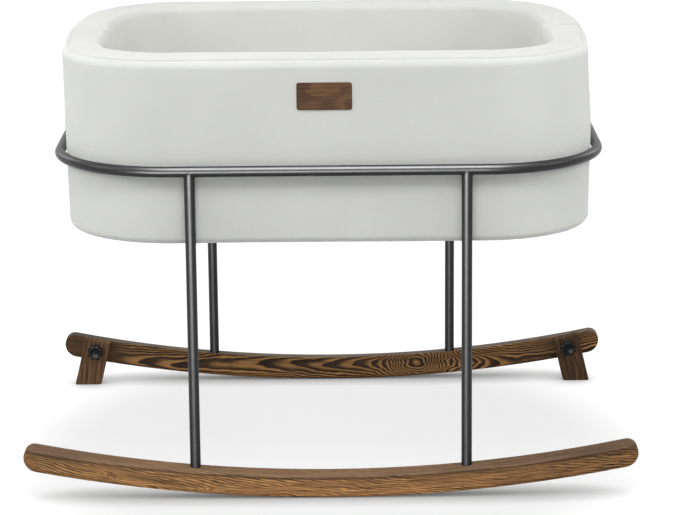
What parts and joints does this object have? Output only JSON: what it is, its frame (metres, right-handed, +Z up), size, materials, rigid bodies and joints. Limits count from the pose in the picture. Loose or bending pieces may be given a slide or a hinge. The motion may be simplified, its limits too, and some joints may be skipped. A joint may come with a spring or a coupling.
{
  "type": "rocking cradle",
  "caption": "Rocking cradle: a padded basket sits in a steel ring frame on bent wooden rockers, with fold-out wooden stops that hold it still.",
  "frame": {"origin": "on the floor, under the middle of the cradle", "axes": "+X along the rockers to the right seen from the front, +Y from the front to the rear, +Z up"},
  "size_m": [1, 0.72, 0.718],
  "materials": {
    "frame_steel": "satin",
    "bright_steel": "satin",
    "insert_brass": "satin",
    "rocker_wood": "satin",
    "stop_wood": "satin",
    "badge_wood": "matte",
    "board_wood": "matte",
    "knob_plastic": "satin",
    "foam": "matte",
    "cover_fabric": "matte",
    "mattress_fabric": "matte"
  },
  "bodies": {
    "stand": {"ring_tube": "frame_steel", "leg_front_left": "frame_steel", "leg_front_right": "frame_steel", "leg_rear_left": "frame_steel", "leg_rear_right": "frame_steel", "crossbar_left": "frame_steel", "crossbar_right": "frame_steel", "leg_plugs": "bright_steel", "leg_bolts": "bright_steel", "leg_washers": "bright_steel", "front_rocker": "rocker_wood", "rear_rocker": "rocker_wood", "knob_inserts": "insert_brass"},
    "stop_left": {"stop_left": "stop_wood"},
    "stop_right": {"stop_right": "stop_wood"},
    "washer_left": {"knob_washer_left": "bright_steel"},
    "washer_right": {"knob_washer_right": "bright_steel"},
    "knob_left": {"knob_left": "knob_plastic", "knob_stud_left": "bright_steel"},
    "knob_right": {"knob_right": "knob_plastic", "knob_stud_right": "bright_steel"},
    "basket": {"base_board": "board_wood", "wall_foam": "foam", "outer_cover": "cover_fabric", "rim_lining_front": "cover_fabric", "rim_lining_rear": "cover_fabric", "floor_lining": "cover_fabric", "bottom_cover": "cover_fabric", "badge_plate": "badge_wood"},
    "mattress": {"mattress_core": "foam", "mattress_cover": "mattress_fabric", "mattress_base": "mattress_fabric"}
  },
  "joints": [
    {"name": "stop_left_swing", "type": "hinge", "parent": "stand", "child": "stop_left", "pos_m": [-0.441, 0.3118, 0.0655], "axis": [0, 1, 0], "range_deg": [0, 90]},
    {"name": "stop_right_swing", "type": "hinge", "parent": "stand", "child": "stop_right", "pos_m": [0.441, 0.3118, 0.0655], "axis": [0, -1, 0], "range_deg": [0, 90]},
    {"name": "washer_left_out", "type": "slide", "parent": "stand", "child": "washer_left", "axis": [0, -1, 0], "range_m": [0, 0.0026]},
    {"name": "washer_right_out", "type": "slide", "parent": "stand", "child": "washer_right", "axis": [0, -1, 0], "range_m": [0, 0.0026]},
    {"name": "knob_left_turn", "type": "hinge", "parent": "washer_left", "child": "knob_left", "pos_m": [-0.441, 0.293, 0.0655], "axis": [0, -1, 0], "range_deg": [0, 720]},
    {"name": "knob_right_turn", "type": "hinge", "parent": "washer_right", "child": "knob_right", "pos_m": [0.441, 0.293, 0.0655], "axis": [0, -1, 0], "range_deg": [0, 720]},
    {"name": "basket_lift", "type": "slide", "parent": "stand", "child": "basket", "axis": [0, 0, 1], "range_m": [0, 0.35]},
    {"name": "mattress_lift", "type": "slide", "parent": "basket", "child": "mattress", "axis": [0, 0, 1], "range_m": [0, 0.3]}
  ],
  "couplings": [
    {"joint": "washer_left_out", "follows": "knob_left_turn", "m_per_rad": 0.00019894},
    {"joint": "washer_right_out", "follows": "knob_right_turn", "m_per_rad": 0.00019894}
  ]
}
